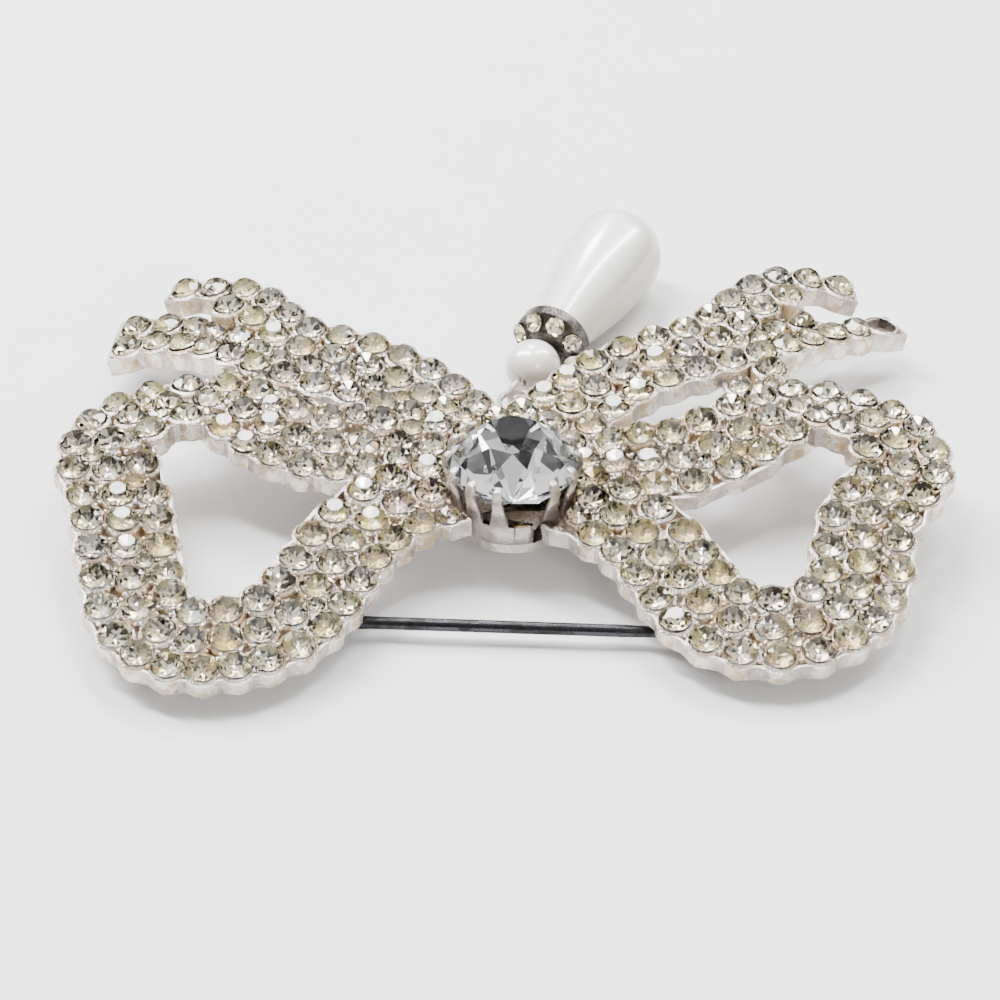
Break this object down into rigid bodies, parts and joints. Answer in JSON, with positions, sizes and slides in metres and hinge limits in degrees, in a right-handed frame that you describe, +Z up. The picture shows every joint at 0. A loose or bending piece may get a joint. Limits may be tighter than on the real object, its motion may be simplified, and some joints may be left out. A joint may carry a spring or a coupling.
{
  "type": "bow brooch",
  "caption": "Bow-shaped brooch paved with small round cut stones, with a large claw-set stone as its knot, two forked tails, a hinged pin behind, and a pearl drop",
  "frame": {"origin": "on the surface the brooch lies on, under the centre of its bounding box", "axes": "+X to the right seen from the front, +Y from the near bends of the loops to the tips of the tails and the drop, +Z up, away from the pin"},
  "size_m": [0.0864, 0.0728, 0.0134],
  "materials": {
    "silver_metal": "bright silver-coloured plating, dulled and slightly yellowed in its corners",
    "small_stones": "clear faceted glass with silver foil behind, some of it gone champagne",
    "knot_stone": "clear faceted glass with silver foil behind",
    "dark_steel": "dark tarnished steel with a dull shine",
    "pearl": "glossy pearl lacquer, cream white",
    "tarnished_silver": "tarnished almost black"
  },
  "bodies": {
    "brooch": {"bow_left": "silver_metal", "bow_right": "silver_metal", "stones_left": "small_stones", "stones_right": "small_stones", "knot_cup": "silver_metal", "knot_stone": "knot_stone", "hinge": "dark_steel", "catch": "dark_steel", "jump_ring": "silver_metal", "drop_wire": "silver_metal", "round_pearl": "pearl", "washer": "tarnished_silver", "washer_stones": "small_stones", "pear_pearl": "pearl"},
    "pin": {"pin_stem": "dark_steel"}
  },
  "joints": [
    {"name": "pin_hinge", "type": "hinge", "parent": "brooch", "child": "pin", "pos_m": [-0.0176, -0.02466, 0.0017], "axis": [0.0523, 0.9986, 0], "range_deg": [0, 80]}
  ]
}
